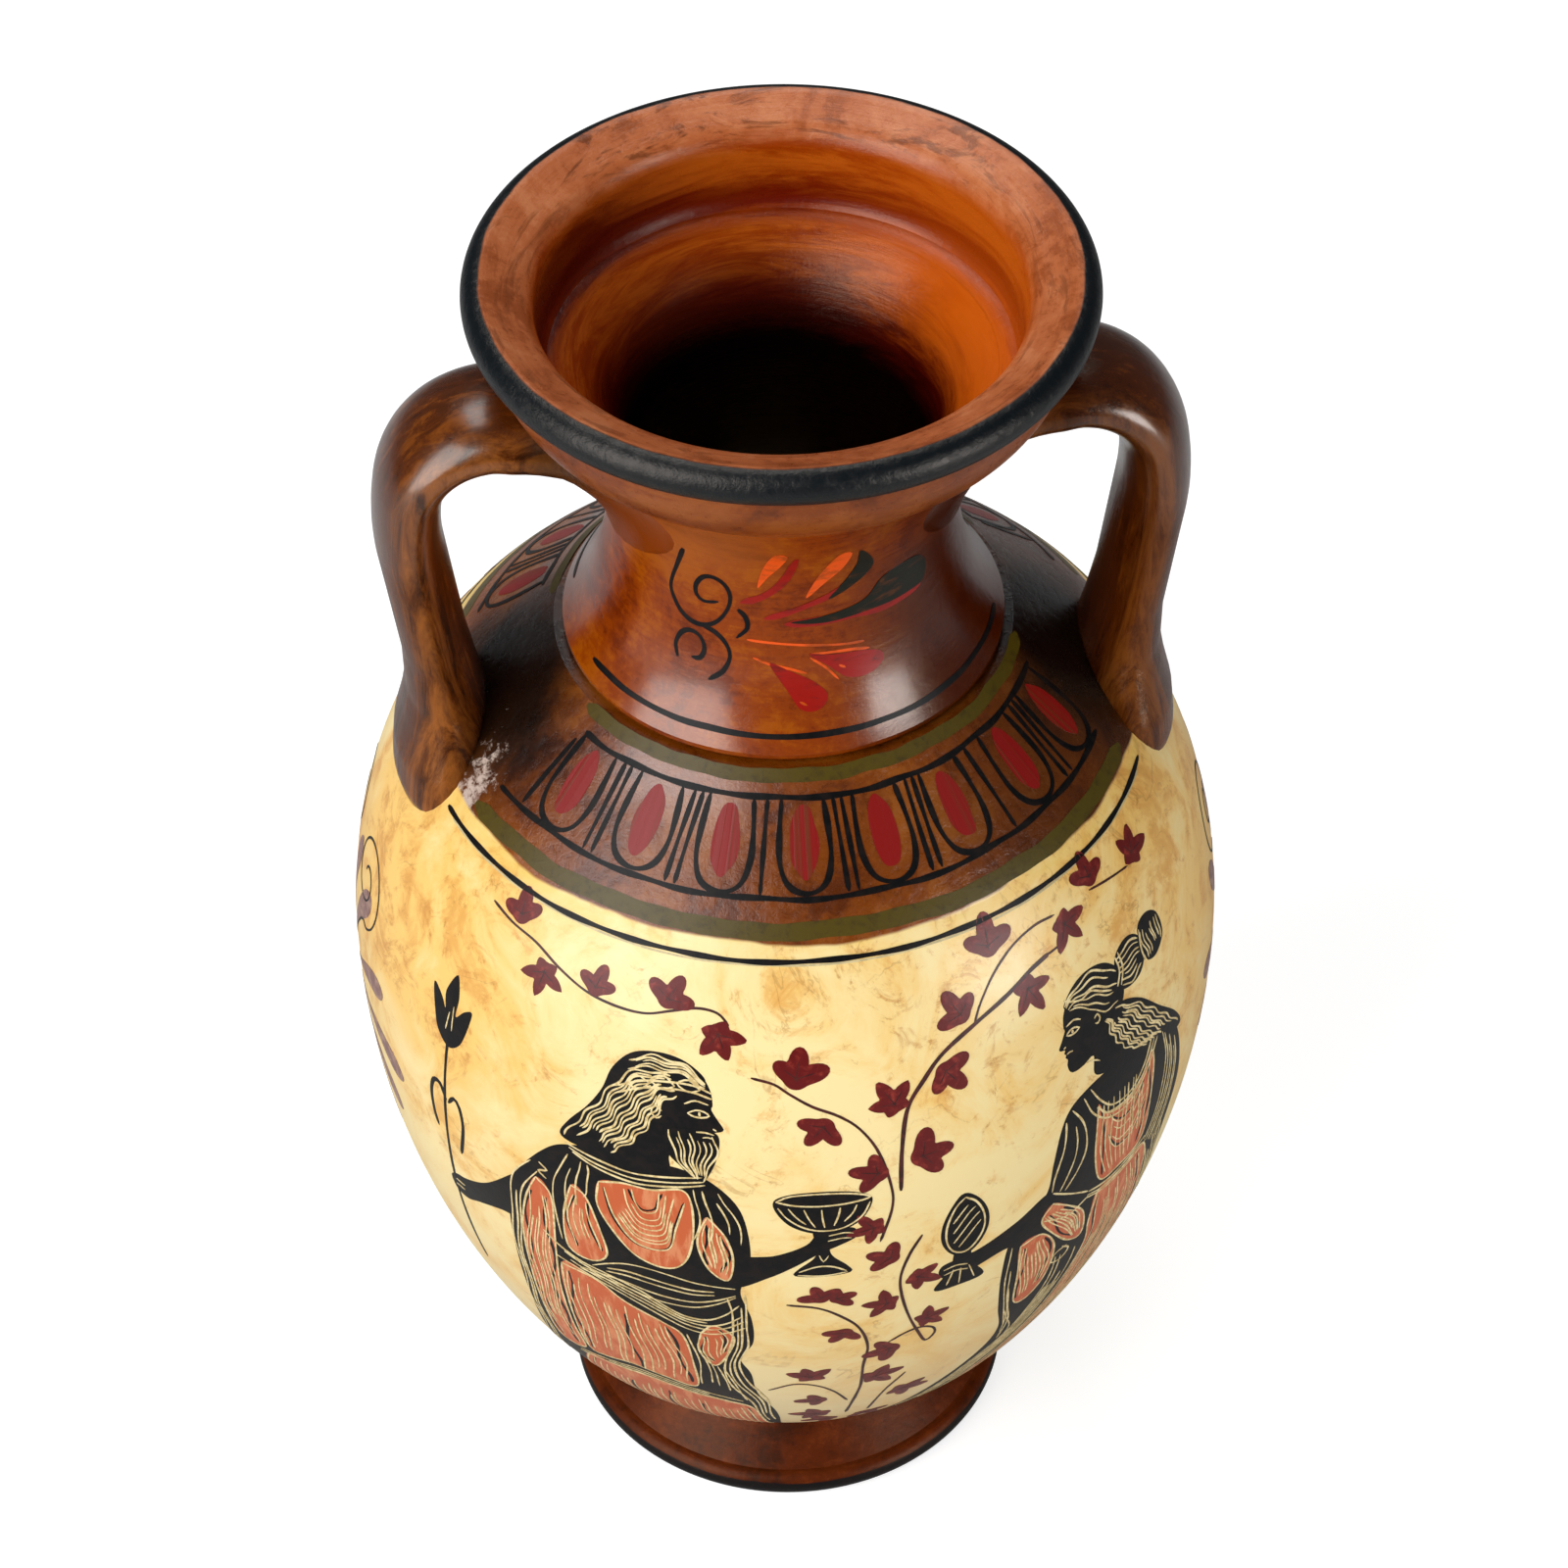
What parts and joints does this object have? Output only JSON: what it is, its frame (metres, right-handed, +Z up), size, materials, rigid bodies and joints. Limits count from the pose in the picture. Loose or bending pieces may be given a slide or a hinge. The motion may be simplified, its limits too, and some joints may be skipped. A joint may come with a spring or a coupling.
{
  "type": "ceramic amphora",
  "caption": "Free-standing painted pottery jar with a dished mouth, a waisted neck, strap handles and a turned foot.",
  "frame": {"origin": "centre of the foot's resting ring, on the surface that it stands on", "axes": "+Z up along the jar's axis; the handles lie along +X and -X; the painted front faces -Y"},
  "size_m": [0.174, 0.174, 0.3],
  "materials": {
    "foot_brown": "satin slip",
    "cream_ground": "satin slip, painted",
    "neck_orange": "satin slip, painted",
    "mouth_salmon": "satin slip",
    "handle_brown": "satin slip"
  },
  "bodies": {
    "root": {"foot": "foot_brown", "belly": "cream_ground", "shoulder": "cream_ground", "neck": "neck_orange", "mouth": "mouth_salmon", "handle_right": "handle_brown", "handle_left": "handle_brown"}
  },
  "joints": []
}
